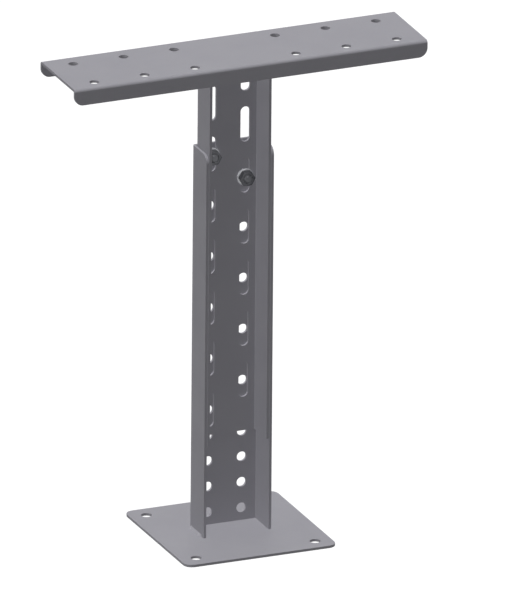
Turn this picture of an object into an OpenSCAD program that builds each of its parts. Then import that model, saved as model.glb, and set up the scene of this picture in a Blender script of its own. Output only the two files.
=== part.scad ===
// Adjustable pedestal for a rack on a raised floor: a base plate and a lower
// channel, and a top bar on an upper channel that slides in the lower one and
// is clamped to it by two bolts. Millimetres. The origin is the middle of the
// base plate's underside, +X runs along the top bar, the open side of both
// channels faces -Y, and +Z is up.

/* [Base plate] */
// Side of the square base plate
base_side = 150; // [120:1:240]
// Thickness of the base plate
base_t = 2.5; // [2:0.5:8]
// Corner radius of the base plate
base_corner_r = 8.5; // [1:0.5:14]
// Distance from the plate's edge to the middle of a floor fixing hole
base_hole_inset = 16; // [12:0.5:24]
// Diameter of a floor fixing hole
base_hole_d = 10; // [6:0.5:14]

/* [Channels] */
// Width of the lower channel across its flanges
lower_w = 67; // [56:1:90]
// Depth of the lower channel from web to flange edge
lower_d = 34; // [28:0.5:60]
// Length of the lower channel
lower_l = 374; // [200:1:600]
// Length of the upper channel
upper_l = 376; // [250:1:600]
// Sheet thickness of both channels
channel_t = 2.5; // [1.5:0.5:4]
// Inside bend radius of both channels
bend_r = 0.5; // [0.5:0.5:2]
// Play between the flanges of the two channels, on each side
flange_play = 0.4; // [0.1:0.05:1]
// Gap between the two webs
web_gap = 0.1; // [0.05:0.05:0.5]
// Radius of the free flange corners
flange_corner_r = 8; // [1:0.5:12]
// How far the column's middle stands behind the middle of the base
column_y = 1.25; // [-10:0.25:10]

/* [Hole pattern] */
// From the inside of an upper flange to the middle of the column of holes beside it
column_inset = 11.35; // [10:0.05:18]
// Height step from one hole to the next
hole_pitch = 25; // [20:1:40]
// How much wider than a bolt its holes and slots are
hole_play = 1.3; // [0.5:0.1:4]
// Height of the lowest hole above the foot of the lower channel
first_hole = 12.3; // [10:0.1:25]
// Overall length of a slot in the upper channel
slot_l = 34.3; // [20:0.1:42]
// Height of the lowest slot's middle above the foot of the upper channel
first_slot = 25; // [23:0.5:40]
// Least sheet left between a hole or slot and the end of its channel or bar
end_margin = 5; // [3:0.5:10]

/* [Setting] */
// Steps of one slot that the upper channel stands above its lowest setting
raised_steps = 1; // [0:1:5]
// How far the slots' middles stand above their bolts
slot_offset = 1.4; // [-8:0.1:8]

/* [Top bar] */
// Length of the top bar
bar_l = 350; // [250:1:500]
// Width of the top bar
bar_w = 81.4; // [66:0.1:120]
// Depth of the top bar over its flanges
bar_h = 16; // [12:0.5:30]
// Sheet thickness of the top bar
bar_t = 2.5; // [1.5:0.5:4]
// Inside bend radius of the top bar
bar_bend_r = 0.5; // [0.5:0.5:4]
// Radius of the lower flange corners at the ends of the top bar
bar_corner_r = 8.8; // [1:0.1:9]
// Step between the rack fixing holes along the bar
bar_hole_pitch = 50; // [40:1:60]
// From the bar's front edge to the middle of the front row of holes
bar_front_inset = 13.5; // [10:0.1:20]
// From the bar's back edge to the middle of the back row of holes
bar_back_inset = 17.9; // [10:0.1:20]
// How far the bar's middle stands behind the middle of the base
bar_y = 1; // [-5:0.5:5]
// Diameter of a rack fixing hole
bar_hole_d = 9; // [6:0.5:12]

/* [Fasteners] */
// Thread diameter of the clamping bolts
bolt_d = 8; // [5:1:10]
// How far a bolt's end stands out of its nut
bolt_end = 1.2; // [0:0.1:10]
// Hexagon width across flats
hex_af = 13; // [10:0.5:14]
// Height of a bolt head
head_h = 5.3; // [3:0.1:7]
// Height of a nut
nut_h = 6.5; // [4:0.1:8]
// Outside diameter of a washer
washer_d = 16; // [14:0.5:18]
// Thickness of a washer
washer_t = 1.6; // [1:0.1:2.5]

/* [Welds] */
// Leg length of the fillet beads
weld_leg = 2; // [1.5:0.5:4]

/* [Hidden] */
$fn = 64;

// Cutters pass this far beyond the faces they cut
cut = 1;
// Play of a bolt in its nut's plain bore and in a washer, on the radius
thread_play = 0.05;
washer_play = 0.2;
// Bevel of the hexagons' corners and of a bolt's end
hex_bevel = 30;
tip_bevel = 1.2;

// Lower channel: the back face of its web, and its foot on the base plate
web_back_y = column_y + lower_d / 2;
lower_z = base_t;

// The upper channel fits inside the lower one, edges flush at the front
inset = channel_t + flange_play;
upper_w = lower_w - 2 * inset;
upper_back_y = web_back_y - channel_t - web_gap;
upper_d = lower_d - channel_t - web_gap;
upper_front_y = upper_back_y - channel_t;
channel_corner_r = bend_r + channel_t;

// Holes of the lower channel, by their heights above its foot
hole_d = bolt_d + hole_play;
hole_count = floor((lower_l - first_hole - hole_d / 2 - end_margin) / hole_pitch) + 1;
hole_zs = [for (k = [0 : hole_count - 1]) first_hole + k * hole_pitch];

// The left-hand bolt sits in the topmost hole, the right-hand one a step lower
left_bolt_z = lower_z + hole_zs[hole_count - 1];
right_bolt_z = left_bolt_z - hole_pitch;

// Slots of the upper channel by their heights above its foot, staggered by one step
slot_pitch = 2 * hole_pitch;
last_slot = upper_l - slot_l / 2 - end_margin;
left_slot_zs = [for (z = first_slot; z <= last_slot; z = z + slot_pitch) z];
right_slot_zs = [for (z = first_slot + hole_pitch; z <= last_slot; z = z + slot_pitch) z];

// The right-hand bolt can be in a slot that leaves the upper channel room to slide
// down on its bolts, and that has a slot for the left-hand bolt a step above it
slide_down = slot_offset + (slot_l - bolt_d) / 2;
highest_slot = min(right_bolt_z + slot_offset - slide_down - base_t, last_slot - hole_pitch);
settings = [for (z = right_slot_zs) if (z <= highest_slot) z];
upper_z = right_bolt_z + slot_offset - settings[len(settings) - 1 - raised_steps];

// Top bar, and the places of its holes
head_z = upper_z + upper_l;
bar_top_z = head_z + bar_t;
bar_hole_count = floor((bar_l / 2 - bar_hole_d / 2 - end_margin) / bar_hole_pitch);
bar_row_ys = [bar_front_inset - bar_w / 2, bar_w / 2 - bar_back_inset];

// Bolts: from under the head, through both webs and the washers, out of the nut
head_seat_y = web_back_y + washer_t;
nut_seat_y = upper_front_y - washer_t;
bolt_l = head_seat_y - nut_seat_y + nut_h + bolt_end;
LEFT = -1;
RIGHT = 1;

// Where a column of holes or slots stands across the channels
function column_x(side) = side * (upper_w / 2 - channel_t - column_inset);

// Mirrors what is drawn for the right-hand side to the left-hand one
module on_side(side) {
    mirror([side == LEFT ? 1 : 0, 0, 0]) children();
}

sheet_grey = [0.63, 0.63, 0.65];
zinc = [0.55, 0.55, 0.57];

// Rectangle of width w that reaches from Y = -d to Y = 0, back corners rounded
module folded_block(w, d, r) {
    translate([-w / 2, -d]) square([w, d - r]);
    translate([-w / 2 + r, -r]) square([w - 2 * r, r]);
    for (side = [LEFT, RIGHT])
        translate([side * (w / 2 - r), -r]) circle(r);
}

// Section of a folded channel: web along Y = 0, flanges towards -Y
module channel_section(w, d, t, r_in) {
    difference() {
        folded_block(w, d, r_in + t);
        translate([0, -t]) folded_block(w - 2 * t, d, r_in);
    }
}

// What a rounded corner at the origin loses: the corner of the quadrant x < r, y > -r
module corner_waste(r) {
    difference() {
        translate([-cut, -r]) square([r + cut, r + cut]);
        translate([r, -r]) circle(r);
    }
}

// Rounds the front flange corners at the upper end of a channel of length l
module front_corners_cut(w, d, l, r) {
    translate([0, -d, l]) rotate([90, 0, 90])
        linear_extrude(w + 2 * cut, center = true) corner_waste(r);
}

// Outline of an upright slot about the origin
module slot_outline(w, l) {
    for (end = [-1, 1])
        translate([0, end * (l - w) / 2]) circle(d = w);
    square([w, l - w], center = true);
}

module base_plate() {
    corner = base_side / 2 - base_corner_r;
    hole = base_side / 2 - base_hole_inset;
    color(sheet_grey) difference() {
        linear_extrude(base_t) {
            square([base_side, 2 * corner], center = true);
            square([2 * corner, base_side], center = true);
            for (x = [-1, 1], y = [-1, 1])
                translate([x * corner, y * corner]) circle(base_corner_r);
        }
        for (x = [-1, 1], y = [-1, 1])
            translate([x * hole, y * hole, -cut])
                cylinder(d = base_hole_d, h = base_t + 2 * cut);
    }
}

module lower_channel() {
    color(sheet_grey) translate([0, web_back_y, lower_z]) difference() {
        linear_extrude(lower_l) channel_section(lower_w, lower_d, channel_t, bend_r);
        front_corners_cut(lower_w, lower_d, lower_l, flange_corner_r);
        for (side = [LEFT, RIGHT], z = hole_zs)
            translate([column_x(side), cut, z]) rotate([90, 0, 0])
                cylinder(d = hole_d, h = channel_t + 2 * cut);
    }
}

module upper_channel() {
    color(sheet_grey) translate([0, upper_back_y, upper_z]) difference() {
        linear_extrude(upper_l) channel_section(upper_w, upper_d, channel_t, bend_r);
        for (z = left_slot_zs) slot_cut(LEFT, z);
        for (z = right_slot_zs) slot_cut(RIGHT, z);
    }
}

// One slot through the upper channel's web, at height z above its foot
module slot_cut(side, z) {
    translate([column_x(side), cut, z]) rotate([90, 0, 0])
        linear_extrude(channel_t + 2 * cut) slot_outline(hole_d, slot_l);
}

module top_bar() {
    color(sheet_grey) translate([0, bar_y, bar_top_z]) difference() {
        rotate([90, 0, 90]) linear_extrude(bar_l, center = true)
            channel_section(bar_w, bar_h, bar_t, bar_bend_r);
        for (side = [LEFT, RIGHT])
            on_side(side) translate([bar_l / 2, 0, -bar_h]) rotate([90, 0, 0])
                linear_extrude(bar_w + 2 * cut, center = true)
                    rotate(180) corner_waste(bar_corner_r);
        for (side = [LEFT, RIGHT], k = [1 : bar_hole_count], y = bar_row_ys)
            translate([side * k * bar_hole_pitch, y, -bar_t - cut])
                cylinder(d = bar_hole_d, h = bar_t + 2 * cut);
    }
}

// Fillet bead of length l along +Y from the origin: it fills the corner between
// the plane x = 0 and the plane z = 0
module bead(l) {
    bulge = weld_leg;
    reach = sqrt(pow(weld_leg + bulge, 2) + pow(bulge, 2));
    rotate([90, 0, 0]) mirror([0, 0, 1]) linear_extrude(l) intersection() {
        square(weld_leg);
        translate([-bulge, -bulge]) circle(reach);
    }
}

// Beads round a channel of width w, depth d and outside bend radius r, on z = 0,
// with its web's back at Y = 0: along a flange, and along the web
module flange_bead(side, w, d, r) {
    margin = r + weld_leg;
    on_side(side) translate([w / 2, -d + margin, 0]) bead(d - r - margin);
}

module web_bead(w, r) {
    translate([w / 2 - r, 0, 0]) rotate(90) bead(w - 2 * r);
}

module base_weld_left() {
    color(sheet_grey) translate([0, web_back_y, base_t])
        flange_bead(LEFT, lower_w, lower_d, channel_corner_r);
}

module base_weld_right() {
    color(sheet_grey) translate([0, web_back_y, base_t])
        flange_bead(RIGHT, lower_w, lower_d, channel_corner_r);
}

module base_weld_back() {
    color(sheet_grey) translate([0, web_back_y, base_t])
        web_bead(lower_w, channel_corner_r);
}

module head_weld_left() {
    color(sheet_grey) translate([0, upper_back_y, head_z]) mirror([0, 0, 1])
        flange_bead(LEFT, upper_w, upper_d, channel_corner_r);
}

module head_weld_right() {
    color(sheet_grey) translate([0, upper_back_y, head_z]) mirror([0, 0, 1])
        flange_bead(RIGHT, upper_w, upper_d, channel_corner_r);
}

module head_weld_back() {
    color(sheet_grey) translate([0, upper_back_y, head_z]) mirror([0, 0, 1])
        web_bead(upper_w, channel_corner_r);
}

// Hexagon of height h from z = 0 up, its corners bevelled on top and, if both, below
module bevelled_hexagon(h, both) {
    corner_r = hex_af / 2 / cos(30);
    drop = (corner_r - hex_af / 2) * tan(hex_bevel);
    foot_r = both ? hex_af / 2 : corner_r;
    intersection() {
        cylinder(r = corner_r, h = h, $fn = 6);
        rotate_extrude() polygon([[0, 0], [foot_r, 0], [corner_r, both ? drop : 0],
                                  [corner_r, h - drop], [hex_af / 2, h], [0, h]]);
    }
}

// Puts a fastener's axis, its local +Z, on a bolt's line, pointing out at the front
module on_bolt_line(side, y) {
    z = side == LEFT ? left_bolt_z : right_bolt_z;
    translate([column_x(side), y, z]) rotate([90, 0, 0]) children();
}

module bolt(side) {
    color(zinc) on_bolt_line(side, head_seat_y) {
        mirror([0, 0, 1]) bevelled_hexagon(head_h, false);
        cylinder(d = bolt_d, h = bolt_l - tip_bevel);
        translate([0, 0, bolt_l - tip_bevel])
            cylinder(r1 = bolt_d / 2, r2 = bolt_d / 2 - tip_bevel, h = tip_bevel);
    }
}

module washer() {
    color(zinc) difference() {
        cylinder(d = washer_d, h = washer_t);
        translate([0, 0, -cut]) cylinder(r = bolt_d / 2 + washer_play, h = washer_t + 2 * cut);
    }
}

module head_washer(side) {
    on_bolt_line(side, head_seat_y) washer();
}

module nut_washer(side) {
    on_bolt_line(side, upper_front_y) washer();
}

module nut(side) {
    color(zinc) on_bolt_line(side, nut_seat_y) difference() {
        bevelled_hexagon(nut_h, true);
        translate([0, 0, -cut]) cylinder(r = bolt_d / 2 + thread_play, h = nut_h + 2 * cut);
    }
}

base_plate();
lower_channel();
base_weld_left();
base_weld_right();
base_weld_back();
upper_channel();
top_bar();
head_weld_left();
head_weld_right();
head_weld_back();
bolt(LEFT);  // left_bolt
head_washer(LEFT);  // left_head_washer
nut_washer(LEFT);  // left_nut_washer
nut(LEFT);  // left_nut
bolt(RIGHT);  // right_bolt
head_washer(RIGHT);  // right_head_washer
nut_washer(RIGHT);  // right_nut_washer
nut(RIGHT);  // right_nut
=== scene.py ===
"""Looks of an adjustable raised floor pedestal.

A base plate and a folded channel stand on the floor, a second folded channel with a
drilled top bar slides in the first, and two bolts clamp them together. The sheets are
powder-coated steel and the fasteners are plated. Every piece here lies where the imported
part has it, in metres, and moves with the part's own bodies.
"""

import logging
import math
from dataclasses import dataclass, field
from enum import Enum
from typing import Sequence

import bmesh
import bpy
from mathutils import Matrix, Vector


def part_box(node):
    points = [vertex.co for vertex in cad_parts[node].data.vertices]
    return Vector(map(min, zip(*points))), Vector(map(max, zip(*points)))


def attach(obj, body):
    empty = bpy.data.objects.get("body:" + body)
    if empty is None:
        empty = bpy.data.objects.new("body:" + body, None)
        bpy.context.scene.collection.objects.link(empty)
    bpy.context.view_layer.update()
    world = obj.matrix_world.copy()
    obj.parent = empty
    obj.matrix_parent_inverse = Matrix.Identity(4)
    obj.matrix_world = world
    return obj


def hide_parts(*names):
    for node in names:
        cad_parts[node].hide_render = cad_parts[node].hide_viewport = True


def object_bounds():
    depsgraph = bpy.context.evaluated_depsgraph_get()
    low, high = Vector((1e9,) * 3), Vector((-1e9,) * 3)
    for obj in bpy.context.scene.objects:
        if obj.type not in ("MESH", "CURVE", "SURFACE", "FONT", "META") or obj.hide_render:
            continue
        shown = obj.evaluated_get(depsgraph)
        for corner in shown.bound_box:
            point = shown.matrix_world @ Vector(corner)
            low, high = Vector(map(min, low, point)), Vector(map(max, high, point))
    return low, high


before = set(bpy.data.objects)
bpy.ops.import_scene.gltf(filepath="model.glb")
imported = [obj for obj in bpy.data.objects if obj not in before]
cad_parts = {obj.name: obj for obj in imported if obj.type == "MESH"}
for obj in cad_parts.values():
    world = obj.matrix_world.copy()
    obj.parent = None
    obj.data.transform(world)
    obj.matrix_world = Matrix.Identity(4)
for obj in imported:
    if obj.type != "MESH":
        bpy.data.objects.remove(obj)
CAD_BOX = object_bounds()

MM = 0.001
LOG = logging.getLogger("pedestal")
Ring = list[Vector]


class Body(Enum):
    """The two rigid bodies: what stands on the floor, and what slides in it."""

    BASE = "base"
    HEAD = "head"


class Slot(Enum):
    """The record's material slots."""

    SHEET = "painted_sheet"
    BEAD = "weld_bead"
    FASTENER = "zinc_steel"


class Side(Enum):
    """Which of the two clamping bolts."""

    LEFT = "left"
    RIGHT = "right"


def linear(hex_code: str) -> tuple[float, float, float, float]:
    """Turns an sRGB colour into the linear one that a node socket takes.

    Args:
        hex_code: The colour as "#rrggbb".

    Returns:
        Linear red, green and blue, and an alpha of 1.
    """
    channels = [int(hex_code[i:i + 2], 16) / 255 for i in (1, 3, 5)]
    values = [c / 12.92 if c <= 0.04045 else ((c + 0.055) / 1.055) ** 2.4 for c in channels]
    return (*values, 1.0)


def add_node(
    tree: bpy.types.NodeTree,
    kind: str,
    values: dict | None = None,
    links: dict | None = None,
    **settings: object,
) -> bpy.types.Node:
    """Adds one node with its settings, socket values and incoming links.

    Args:
        tree: The node tree that gets the node.
        kind: The node's type name, such as "ShaderNodeBump".
        values: Values for input sockets, by socket name or number.
        links: Output sockets to join to input sockets, by socket name or number.
        **settings: The node's own properties.

    Returns:
        The new node.
    """
    node = tree.nodes.new(kind)
    for name, value in settings.items():
        setattr(node, name, value)
    for socket, value in (values or {}).items():
        node.inputs[socket].default_value = value
    for socket, source in (links or {}).items():
        tree.links.new(source, node.inputs[socket])
    return node


def empty_material(name: str) -> tuple[bpy.types.Material, bpy.types.NodeTree]:
    """Makes a material with no nodes in it yet.

    Args:
        name: The material's name.

    Returns:
        The material and its node tree.
    """
    material = bpy.data.materials.new(name)
    material.use_nodes = True
    material.node_tree.nodes.clear()
    return material, material.node_tree


@dataclass(frozen=True)
class PowderCoat:
    """Polyester powder coat baked on steel sheet.

    The powder melts into a tough satin film: a grey with a slight violet cast, a soft
    sheen, the shallow ripple called orange peel, and faint clouds where the film is
    thicker or thinner.
    """

    name: str = "powder_coat"
    colour: str = "#9a999f"
    cloud_colour: str = "#94939a"
    ior: float = 1.22
    roughness: float = 0.56
    roughness_spread: float = 0.08
    cloud_size: float = 45 * MM
    # A real orange peel ripple is about 1 mm wide: drawn three times as wide, so that it shows
    peel_width: float = 3 * MM
    peel_depth: float = 0.02 * MM
    # Grains of pigment are finer than 0.1 mm: drawn as a faint speckle of this size
    speckle_size: float = 1.2 * MM
    speckle_strength: float = 0.05

    def material(self) -> bpy.types.Material:
        """Builds the coat's material.

        Returns:
            The finished material.
        """
        material, tree = empty_material(self.name)
        place = add_node(tree, "ShaderNodeTexCoord").outputs["Object"]
        clouds = add_node(
            tree, "ShaderNodeTexNoise",
            {"Scale": 1 / self.cloud_size, "Detail": 3.0, "Roughness": 0.55}, {"Vector": place})
        speckle = add_node(
            tree, "ShaderNodeTexNoise",
            {"Scale": 1 / self.speckle_size, "Detail": 1.0, "Roughness": 0.6}, {"Vector": place})
        peel = add_node(
            tree, "ShaderNodeTexNoise",
            {"Scale": 1 / self.peel_width, "Detail": 1.5, "Roughness": 0.45}, {"Vector": place})
        film = add_node(
            tree, "ShaderNodeMix",
            {6: linear(self.colour), 7: linear(self.cloud_colour)}, {0: clouds.outputs["Fac"]},
            data_type="RGBA")
        grain = add_node(
            tree, "ShaderNodeMix", {0: self.speckle_strength},
            {6: film.outputs[2], 7: speckle.outputs["Color"]},
            data_type="RGBA", blend_type="SOFT_LIGHT")
        sheen = add_node(
            tree, "ShaderNodeMapRange",
            {"To Min": self.roughness - self.roughness_spread,
             "To Max": self.roughness + self.roughness_spread},
            {"Value": clouds.outputs["Fac"]})
        ripple = add_node(
            tree, "ShaderNodeBump", {"Strength": 1.0, "Distance": self.peel_depth},
            {"Height": peel.outputs["Fac"]})
        coat = add_node(
            tree, "ShaderNodeBsdfPrincipled", {"IOR": self.ior},
            {"Base Color": grain.outputs[2], "Roughness": sheen.outputs["Result"],
             "Normal": ripple.outputs["Normal"]})
        add_node(tree, "ShaderNodeOutputMaterial", links={"Surface": coat.outputs["BSDF"]})
        return material


@dataclass(frozen=True)
class PlatedSteel:
    """Zinc-plated steel, passivated grey, as on a stock bolt.

    The plating is a dull metal: darker and cooler than the paint, with blurred
    reflections, a fine crystalline grain and slightly uneven passivation.
    """

    name: str = "bolt_plating"
    colour: str = "#606165"
    stain_colour: str = "#55565a"
    metallic: float = 0.5
    roughness: float = 0.42
    roughness_spread: float = 0.1
    stain_size: float = 4 * MM
    # Zinc crystals are about 0.05 mm wide: drawn ten times as wide, so that they show
    grain_size: float = 0.5 * MM
    grain_depth: float = 0.006 * MM

    def material(self) -> bpy.types.Material:
        """Builds the plating's material.

        Returns:
            The finished material.
        """
        material, tree = empty_material(self.name)
        place = add_node(tree, "ShaderNodeTexCoord").outputs["Object"]
        stain = add_node(
            tree, "ShaderNodeTexNoise",
            {"Scale": 1 / self.stain_size, "Detail": 4.0, "Roughness": 0.6}, {"Vector": place})
        grain = add_node(
            tree, "ShaderNodeTexVoronoi", {"Scale": 1 / self.grain_size}, {"Vector": place})
        zinc = add_node(
            tree, "ShaderNodeMix",
            {6: linear(self.colour), 7: linear(self.stain_colour)}, {0: stain.outputs["Fac"]},
            data_type="RGBA")
        blur = add_node(
            tree, "ShaderNodeMapRange",
            {"To Min": self.roughness - self.roughness_spread,
             "To Max": self.roughness + self.roughness_spread},
            {"Value": stain.outputs["Fac"]})
        crystals = add_node(
            tree, "ShaderNodeBump", {"Strength": 1.0, "Distance": self.grain_depth},
            {"Height": grain.outputs["Distance"]})
        plating = add_node(
            tree, "ShaderNodeBsdfPrincipled", {"Metallic": self.metallic},
            {"Base Color": zinc.outputs[2], "Roughness": blur.outputs["Result"],
             "Normal": crystals.outputs["Normal"]})
        add_node(tree, "ShaderNodeOutputMaterial", links={"Surface": plating.outputs["BSDF"]})
        return material


@dataclass(frozen=True)
class StudioFloor:
    """White matt paper sweep: it shows white with a faint shadow, and throws back little light."""

    name: str = "paper_sweep"
    bounce_colour: str = "#505050"
    glow: float = 0.55
    shown_colour: str = "#c0c0c0"

    def material(self) -> bpy.types.Material:
        """Builds the floor's material.

        Returns:
            The finished material.
        """
        material, tree = empty_material(self.name)
        paper = add_node(tree, "ShaderNodeBsdfDiffuse", {"Color": linear(self.shown_colour)})
        glow = add_node(tree, "ShaderNodeEmission", {"Strength": self.glow})
        shown = add_node(
            tree, "ShaderNodeAddShader", links={0: paper.outputs[0], 1: glow.outputs[0]})
        bounce = add_node(tree, "ShaderNodeBsdfDiffuse", {"Color": linear(self.bounce_colour)})
        surface = add_node(
            tree, "ShaderNodeMixShader",
            links={0: seen_directly(tree), 1: bounce.outputs[0], 2: shown.outputs[0]})
        add_node(tree, "ShaderNodeOutputMaterial", links={"Surface": surface.outputs[0]})
        return material


def seen_directly(tree: bpy.types.NodeTree) -> bpy.types.NodeSocket:
    """Tells rays that show the surroundings from rays that only carry their light.

    Args:
        tree: The node tree to add to.

    Returns:
        A socket that is 1 for camera, mirror and see-through rays, and 0 for the rest.
    """
    path = add_node(tree, "ShaderNodeLightPath")
    mirrored = add_node(
        tree, "ShaderNodeMath",
        links={0: path.outputs["Is Camera Ray"], 1: path.outputs["Is Glossy Ray"]},
        operation="MAXIMUM")
    shown = add_node(
        tree, "ShaderNodeMath",
        links={0: mirrored.outputs[0], 1: path.outputs["Is Transmission Ray"]},
        operation="MAXIMUM")
    return shown.outputs[0]


def make_piece(
    name: str,
    mesh: bpy.types.Mesh,
    materials: Sequence[bpy.types.Material],
    body: Body,
    node: str,
) -> bpy.types.Object:
    """Adds a piece of the pedestal and hides the CAD node that it stands for.

    Args:
        name: The piece's name.
        mesh: Its mesh, in the part's frame.
        materials: Its materials, in the order of the mesh's material numbers.
        body: The body that it moves with.
        node: The CAD node that it stands for.

    Returns:
        The new object.
    """
    piece = bpy.data.objects.new(name, mesh)
    bpy.context.scene.collection.objects.link(piece)
    mesh.materials.clear()
    for material in materials:
        mesh.materials.append(material)
    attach(piece, body.value)
    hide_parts(node)
    LOG.info("%s: %d faces, %s, on %s", name, len(mesh.polygons), materials[0].name, body.value)
    return piece


def skin(name: str, rings: Sequence[Ring], looped: bool, smooth_below: float = 35) -> bpy.types.Mesh:
    """Joins rings of equally many points into a closed mesh.

    Args:
        name: The mesh's name.
        rings: The rings in order, each with its points in order.
        looped: Whether the last ring joins the first. If not, both ends are capped.
        smooth_below: Edges that turn by fewer degrees than this are shaded smooth.

    Returns:
        The new mesh.
    """
    count = len(rings[0])
    points = [point for ring in rings for point in ring]
    spans = len(rings) if looped else len(rings) - 1
    faces = [
        (i * count + j, i * count + (j + 1) % count,
         (i + 1) % len(rings) * count + (j + 1) % count, (i + 1) % len(rings) * count + j)
        for i in range(spans) for j in range(count)]
    if not looped:
        for start, ring in ((0, rings[0]), ((len(rings) - 1) * count, rings[-1])):
            points.append(sum(ring, Vector()) / count)
            faces += [(start + j, start + (j + 1) % count, len(points) - 1) for j in range(count)]
    mesh = bpy.data.meshes.new(name)
    mesh.from_pydata(points, [], faces)
    work = bmesh.new()
    work.from_mesh(mesh)
    bmesh.ops.recalc_face_normals(work, faces=work.faces)
    work.to_mesh(mesh)
    work.free()
    mesh.shade_smooth()
    mesh.set_sharp_from_angle(angle=math.radians(smooth_below))
    return mesh


@dataclass
class Sheet:
    """A cut and folded steel sheet, its cut edges rounded by deburring and paint."""

    node: str
    body: Body
    coat: bpy.types.Material
    edge_coat_and_highlight: bpy.types.Material
    edge_radius: float = 0.35 * MM
    edge_segments: int = 3
    # Edges that turn more than this many degrees were cut: a fold's facets turn far less
    cut_angle: float = 40
    # Faces that turn less than this many degrees are one flat
    flat_angle: float = 0.3
    # Points nearer than this are one corner
    merge_distance: float = 0.001 * MM

    def build(self) -> bpy.types.Object:
        """Rounds the sheet's cut edges and dresses it.

        Returns:
            The finished sheet.
        """
        work = bmesh.new()
        work.from_mesh(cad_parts[self.node].data)
        bmesh.ops.remove_doubles(work, verts=work.verts, dist=self.merge_distance)
        bmesh.ops.dissolve_limit(
            work, angle_limit=math.radians(self.flat_angle), verts=work.verts, edges=work.edges)
        cut = [e for e in work.edges if e.calc_face_angle(0) > math.radians(self.cut_angle)]
        # Material 1 is the edge coat: lighter than the rest, partly for the thinner film on cut
        # edges and partly a painted highlight
        bmesh.ops.bevel(
            work, geom=cut, offset=self.edge_radius, offset_type="OFFSET",
            segments=self.edge_segments, profile=0.5, affect="EDGES", clamp_overlap=True, material=1)
        mesh = bpy.data.meshes.new(self.node)
        work.to_mesh(mesh)
        work.free()
        mesh.shade_smooth()
        sheet = make_piece(
            f"{self.node}_sheet", mesh, [self.coat, self.edge_coat_and_highlight], self.body, self.node)
        flats = sheet.modifiers.new("flat_faces", "WEIGHTED_NORMAL")
        flats.weight = 100
        return sheet


@dataclass
class WeldBead:
    """A fillet bead run along the corner between an upright wall and a plate."""

    node: str
    body: Body
    # Which way the bead stands off its wall, and off its plate
    off_wall: Vector
    off_plate: Vector
    coat: bpy.types.Material
    ripple_step: float = 1.3 * MM
    ripple_depth: float = 0.16 * MM
    ripple_lag: float = 0.9
    end_length: float = 1.6 * MM
    # Size of the bead's very end, as a share of its full size
    end_share: float = 0.2
    # How far the face is from a quarter circle, at 0, towards a straight bevel, at 1
    flatness: float = 0.84
    slices_per_ripple: int = 6
    arc_points: int = 10

    def section(self, along: float, length: float, leg: float) -> list[tuple[float, float]]:
        """Works out the bead's section at one place along it.

        Args:
            along: Distance from the bead's start.
            length: The bead's length.
            leg: The bead's full leg length.

        Returns:
            Points as (distance off the wall, distance off the plate).
        """
        to_end = min(along, length - along, self.end_length) / self.end_length
        size = leg * max(math.sqrt(1 - (1 - to_end) ** 2), self.end_share)
        points = [(0.0, 0.0)]
        for k in range(self.arc_points + 1):
            turn = math.pi / 2 * k / self.arc_points
            crest = math.sin(2 * turn)
            wave = (along / self.ripple_step + self.ripple_lag * crest) % 1
            dip = self.ripple_depth * crest * wave ** 2
            bevel = 1 / (math.cos(turn) + math.sin(turn))
            reach = size * (self.flatness * bevel + 1 - self.flatness) - dip
            points.append((reach * math.cos(turn), reach * math.sin(turn)))
        return points

    def build(self) -> bpy.types.Object:
        """Runs the bead with its ripples and dresses it.

        Returns:
            The finished bead.
        """
        low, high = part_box(self.node)
        run = self.off_wall.cross(self.off_plate)
        corner = Vector([
            low[i] if self.off_wall[i] + self.off_plate[i] > 0 else high[i] for i in range(3)])
        start = corner.copy()
        axis = max(range(3), key=lambda i: abs(run[i]))
        length = high[axis] - low[axis]
        start[axis] = low[axis] if run[axis] > 0 else high[axis]
        leg = min(high[i] - low[i] for i in range(3))
        slices = int(length / self.ripple_step * self.slices_per_ripple)
        rings = []
        for i in range(slices + 1):
            along = length * i / slices
            rings.append([
                start + run * along + self.off_wall * out + self.off_plate * up
                for out, up in self.section(along, length, leg)])
        mesh = skin(self.node, rings, looped=False, smooth_below=60)
        return make_piece(f"{self.node}_bead", mesh, [self.coat], self.body, self.node)


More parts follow.
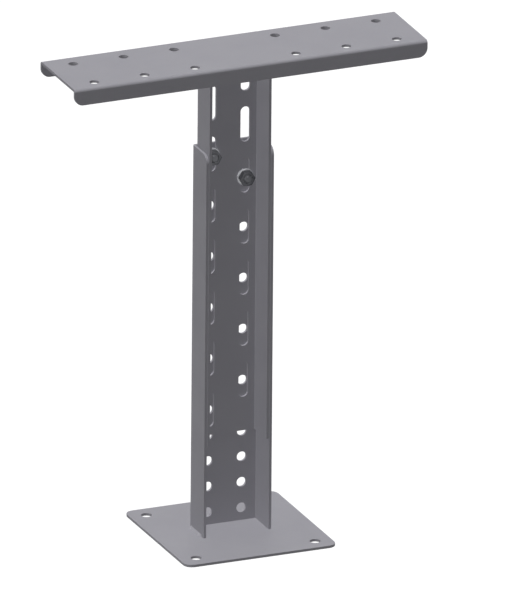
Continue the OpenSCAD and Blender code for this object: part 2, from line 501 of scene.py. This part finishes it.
@dataclass
class ClampSet:
    """One clamping bolt with the washer under its head, the washer under its nut, and the nut."""

    side: Side
    bolt_plating: bpy.types.Material
    nut_plating: bpy.types.Material
    washer_plating_and_highlight: bpy.types.Material
    points: int = 72
    bolt_radius: float = 4 * MM
    thread_pitch: float = 1.25 * MM
    thread_depth: float = 0.77 * MM
    thread_play: float = 0.03 * MM
    # Shares of the pitch that the thread's crest and its root take up
    crest_share: float = 0.125
    root_share: float = 0.25
    slices_per_pitch: int = 10
    tip_bevel: float = 1.2 * MM
    # The bevelled face of a hexagon is a circle of this share of the width across flats
    face_share: float = 0.95
    bevel_angle: float = 30
    seat_height: float = 0.4 * MM
    countersink: float = 0.45 * MM
    washer_edge: float = 0.25 * MM
    washer_edge_steps: int = 3
    washer_play: float = 0.2 * MM
    # The upper channel slides behind the nut's washer, which clears it by this much
    slide_play: float = 0.02 * MM
    centre: Vector = field(init=False)
    flats: float = field(init=False)

    def __post_init__(self) -> None:
        """Takes the bolt's line and the width across flats from the frame."""
        low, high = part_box(self.node("nut"))
        self.centre = (low + high) / 2
        self.flats = high.z - low.z

    def node(self, piece: str) -> str:
        """Gives the name of this bolt's CAD node for a piece."""
        return f"{self.side.value}_{piece}"

    def ring(self, y: float, radius: float) -> Ring:
        """Draws a circle round the bolt's line.

        Args:
            y: Where it lies along the line.
            radius: The circle's radius.

        Returns:
            Its points.
        """
        return self.outline(y, [radius] * self.points)

    def outline(self, y: float | Sequence[float], radii: Sequence[float]) -> Ring:
        """Draws a closed outline round the bolt's line.

        Args:
            y: Where it lies along the line, for all its points or for each.
            radii: The distance of each point from the line.

        Returns:
            Its points.
        """
        ys = [y] * self.points if isinstance(y, float) else y
        ring = []
        for k in range(self.points):
            turn = math.tau * k / self.points
            ring.append(Vector((
                self.centre.x + radii[k] * math.cos(turn), ys[k],
                self.centre.z + radii[k] * math.sin(turn))))
        return ring

    def hexagon(self) -> list[float]:
        """Gives the distance of a hexagon's outline from its middle, a corner first."""
        radii = []
        for k in range(self.points):
            turn = 360 * k / self.points % 60 - 30
            radii.append(self.flats / 2 / math.cos(math.radians(turn)))
        return radii

    def bevelled(self, face: float, inward: float) -> list[Ring]:
        """Draws a hexagon's bevelled end.

        Args:
            face: Where the end face lies along the bolt's line.
            inward: 1 if the hexagon lies towards +Y of that face, -1 if towards -Y.

        Returns:
            The circle of the end face, and the outline where the bevel ends.
        """
        circle = self.flats / 2 * self.face_share
        drop = math.tan(math.radians(self.bevel_angle))
        radii = self.hexagon()
        edge = [face + inward * drop * (r - circle) for r in radii]
        return [self.ring(face, circle), self.outline(edge, radii)]

    def thread_radius(self, along: float, turn: float) -> float:
        """Gives the radius of the thread's flank.

        Args:
            along: Distance from the bolt's head.
            turn: Turns round the bolt's line.

        Returns:
            The radius there.
        """
        phase = (along / self.thread_pitch - turn) % 1
        flank = (1 - self.crest_share - self.root_share) / 2
        depth = min(max((abs(phase - 0.5) - self.crest_share / 2) / flank, 0), 1)
        return self.bolt_radius - self.thread_play - self.thread_depth * depth

    def bolt(self) -> bpy.types.Mesh:
        """Makes the bolt: a bevelled head with a raised seat, and a shank threaded all along."""
        low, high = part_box(self.node("bolt"))
        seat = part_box(self.node("head_washer"))[1].y
        rings = self.bevelled(high.y, -1)
        rings.append(self.outline(seat + self.seat_height, self.hexagon()))
        rings.append(self.ring(seat + self.seat_height, self.flats / 2 * self.face_share))
        rings.append(self.ring(seat, self.flats / 2 * self.face_share))
        length = seat - low.y
        step = self.thread_pitch / self.slices_per_pitch
        slices = round(length / step)
        for i in range(slices + 1):
            along = length * i / slices
            limit = self.bolt_radius - max(along - length + self.tip_bevel, 0)
            radii = [
                min(self.thread_radius(along, k / self.points), limit) for k in range(self.points)]
            rings.append(self.outline(seat - along, radii))
        return skin(self.node("bolt"), rings, looped=False, smooth_below=25)

    def nut(self) -> bpy.types.Mesh:
        """Makes the nut: bevelled on both faces, its bore countersunk on both."""
        low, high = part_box(self.node("nut"))
        front = self.bevelled(low.y, 1)
        back = self.bevelled(high.y, -1)
        bore = self.bolt_radius + self.thread_play
        mouth = bore + self.countersink
        rings = [*front, *reversed(back), self.ring(high.y, mouth),
                 self.ring(high.y - self.countersink, bore),
                 self.ring(low.y + self.countersink, bore), self.ring(low.y, mouth)]
        return skin(self.node("nut"), rings, looped=True, smooth_below=25)

    def washer(self, piece: str) -> bpy.types.Mesh:
        """Makes a washer, rounded on the side that the punch entered.

        Args:
            piece: Which washer, "head_washer" or "nut_washer".

        Returns:
            Its mesh.
        """
        low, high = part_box(self.node(piece))
        outer = (high.x - low.x) / 2
        inner = self.bolt_radius + self.washer_play
        outward = 1 if piece == "head_washer" else -1
        face, seat = (high.y, low.y) if outward > 0 else (low.y, high.y - self.slide_play)
        burr = self.washer_edge / 3
        rings = [self.ring(seat, inner), self.ring(seat, outer - burr),
                 self.ring(seat + outward * burr, outer)]
        for k in range(self.washer_edge_steps + 1):
            turn = math.pi / 2 * k / self.washer_edge_steps
            rings.append(self.ring(
                face - outward * self.washer_edge * (1 - math.sin(turn)),
                outer - self.washer_edge * (1 - math.cos(turn))))
        rings.append(self.ring(face, inner + self.washer_edge / 2))
        rings.append(self.ring(face - outward * self.washer_edge / 2, inner))
        return skin(self.node(piece), rings, looped=True, smooth_below=35)

    def build(self) -> list[bpy.types.Object]:
        """Makes the four pieces and dresses them.

        Returns:
            The bolt, the nut and the two washers.
        """
        pieces = {
            "bolt": (self.bolt(), self.bolt_plating),
            "nut": (self.nut(), self.nut_plating),
            "head_washer": (self.washer("head_washer"), self.washer_plating_and_highlight),
            "nut_washer": (self.washer("nut_washer"), self.washer_plating_and_highlight)}
        return [
            make_piece(
                f"plated_{self.node(piece)}", mesh, [plating], Body.BASE,
                self.node(piece))
            for piece, (mesh, plating) in pieces.items()]


@dataclass
class Foot:
    """What stands on the floor: base plate, lower channel, their beads, and the clamping bolts."""

    coat: bpy.types.Material
    edge_coat_and_highlight: bpy.types.Material
    bead_coat: bpy.types.Material
    bolt_plating: bpy.types.Material
    nut_plating: bpy.types.Material
    washer_plating_and_highlight: bpy.types.Material

    def build(self) -> None:
        """Builds and dresses the foot."""
        for node in ("base_plate", "lower_channel"):
            Sheet(node, Body.BASE, self.coat, self.edge_coat_and_highlight).build()
        up = Vector((0, 0, 1))
        for name, off_wall in (("left", (-1, 0, 0)), ("right", (1, 0, 0)), ("back", (0, 1, 0))):
            WeldBead(f"base_weld_{name}", Body.BASE, Vector(off_wall), up, self.bead_coat).build()
        for side in Side:
            ClampSet(side, self.bolt_plating, self.nut_plating, self.washer_plating_and_highlight).build()


@dataclass
class Mast:
    """What slides in the foot: upper channel, top bar, and the beads between them."""

    coat: bpy.types.Material
    edge_coat_and_highlight: bpy.types.Material
    bead_coat: bpy.types.Material

    def build(self) -> None:
        """Builds and dresses the mast."""
        for node in ("upper_channel", "top_bar"):
            Sheet(node, Body.HEAD, self.coat, self.edge_coat_and_highlight).build()
        down = Vector((0, 0, -1))
        for name, off_wall in (("left", (-1, 0, 0)), ("right", (1, 0, 0)), ("back", (0, 1, 0))):
            WeldBead(f"head_weld_{name}", Body.HEAD, Vector(off_wall), down, self.bead_coat).build()


@dataclass
class Lamp:
    """A distant soft lamp."""

    name: str
    # Where the light comes from
    towards: Vector
    strength: float
    # How wide the lamp looks, in degrees
    spread: float
    casts_shadow: bool = True

    def build(self) -> bpy.types.Object:
        """Hangs the lamp.

        Returns:
            The lamp's object.
        """
        light = bpy.data.lights.new(self.name, "SUN")
        light.energy = self.strength
        light.angle = math.radians(self.spread)
        light.use_shadow = self.casts_shadow
        lamp = bpy.data.objects.new(self.name, light)
        lamp.rotation_euler = self.towards.to_track_quat("Z", "Y").to_euler()
        bpy.context.scene.collection.objects.link(lamp)
        return lamp


@dataclass
class Studio:
    """White floor and surroundings, even light from above, and weak fill light all round."""

    floor: StudioFloor = field(default_factory=StudioFloor)
    floor_size: float = 12.0
    floor_drop: float = 0.05 * MM
    ambient: float = 0.06
    # Light from above: a broad lamp for soft shadows, and an even one that reaches everywhere
    soft_top: float = 0.42
    even_top: float = 2.53
    # How wide the lamps look, in degrees
    soft_spread: float = 50
    even_spread: float = 10
    left_fill: float = 1.13
    front_fill: float = 0.6
    far_fill: float = 0.3

    def build(self) -> None:
        """Lays the floor, lights the surroundings and hangs the lamps."""
        self.lay_floor()
        self.light_surroundings()
        Lamp("soft_top", Vector((0, 0, 1)), self.soft_top, self.soft_spread).build()
        for name, towards, strength in (
                ("even_top", (0, 0, 1), self.even_top),
                ("left_fill", (-1, 0, 0), self.left_fill),
                ("front_fill", (0, -1, 0), self.front_fill),
                ("right_fill", (1, 0, 0), self.far_fill),
                ("back_fill", (0, 1, 0), self.far_fill)):
            Lamp(name, Vector(towards), strength, self.even_spread, casts_shadow=False).build()

    def lay_floor(self) -> None:
        """Lays the floor just under the base plate."""
        half = self.floor_size / 2
        level = CAD_BOX[0].z - self.floor_drop
        mesh = bpy.data.meshes.new("floor")
        mesh.from_pydata(
            [(-half, -half, level), (half, -half, level), (half, half, level), (-half, half, level)],
            [], [(0, 1, 2, 3)])
        mesh.materials.append(self.floor.material())
        floor = bpy.data.objects.new("floor", mesh)
        bpy.context.scene.collection.objects.link(floor)

    def light_surroundings(self) -> None:
        """Makes the surroundings white to look at, and a weak even light."""
        world = bpy.data.worlds.new("surroundings")
        world.use_nodes = True
        tree = world.node_tree
        tree.nodes.clear()
        even = add_node(tree, "ShaderNodeBackground", {"Strength": self.ambient})
        white = add_node(tree, "ShaderNodeBackground", {"Strength": 1.0})
        for background in (even, white):
            background.inputs["Color"].default_value = (1, 1, 1, 1)
        both = add_node(
            tree, "ShaderNodeMixShader",
            links={0: seen_directly(tree), 1: even.outputs[0], 2: white.outputs[0]})
        add_node(tree, "ShaderNodeOutputWorld", links={"Surface": both.outputs[0]})
        bpy.context.scene.world = world


@dataclass
class Viewpoint:
    """A camera without perspective, a little above the pedestal and to its left."""

    azimuth: float = -22.84
    elevation: float = 20.89
    roll: float = 0.45
    view_height: float = 0.549
    aim: Vector = field(default_factory=lambda: Vector((0.0198, 0, 0.223)))
    distance: float = 2.0

    def build(self) -> bpy.types.Object:
        """Sets up the camera and makes it the scene's.

        Returns:
            The camera.
        """
        turn = math.radians(self.azimuth)
        rise = math.radians(self.elevation)
        back = Vector((
            math.sin(turn) * math.cos(rise), -math.cos(turn) * math.cos(rise), math.sin(rise)))
        right = Vector((math.cos(turn), math.sin(turn), 0))
        upright = Matrix((right, back.cross(right), back)).transposed()
        data = bpy.data.cameras.new("camera")
        data.type = "ORTHO"
        data.ortho_scale = self.view_height
        camera = bpy.data.objects.new("camera", data)
        camera.matrix_world = (
            Matrix.Translation(self.aim + back * self.distance)
            @ (upright @ Matrix.Rotation(math.radians(self.roll), 3, "Z")).to_4x4())
        bpy.context.scene.collection.objects.link(camera)
        bpy.context.scene.camera = camera
        return camera


def main() -> None:
    """Builds the camera, the studio and the pedestal."""
    logging.basicConfig(level=logging.INFO, format="%(message)s")
    bpy.context.scene.view_settings.view_transform = "Standard"
    Viewpoint().build()
    Studio().build()
    coat = PowderCoat().material()
    # The cut edges get a lighter copy of the coat: partly the thinner film there, partly a painted
    # highlight
    edge_coat_and_highlight = PowderCoat("edge_coat_and_highlight", colour="#a3a2a8", cloud_colour="#9d9ca2").material()
    bead_coat = PowderCoat("bead_coat", roughness=0.6).material()
    bolt_plating = PlatedSteel().material()
    nut_plating = PlatedSteel("nut_plating", colour="#505155", stain_colour="#47484c").material()
    # The washers are drawn far lighter than the bolts and nuts: partly a brighter zinc, partly a
    # painted highlight for the bright rim beside each nut
    washer_plating_and_highlight = PlatedSteel(
        "washer_plating_and_highlight", colour="#c4c5c9", stain_colour="#b2b3b7", roughness=0.36).material()
    Foot(coat, edge_coat_and_highlight, bead_coat, bolt_plating, nut_plating, washer_plating_and_highlight).build()
    Mast(coat, edge_coat_and_highlight, bead_coat).build()


if __name__ == "__main__":
    main()
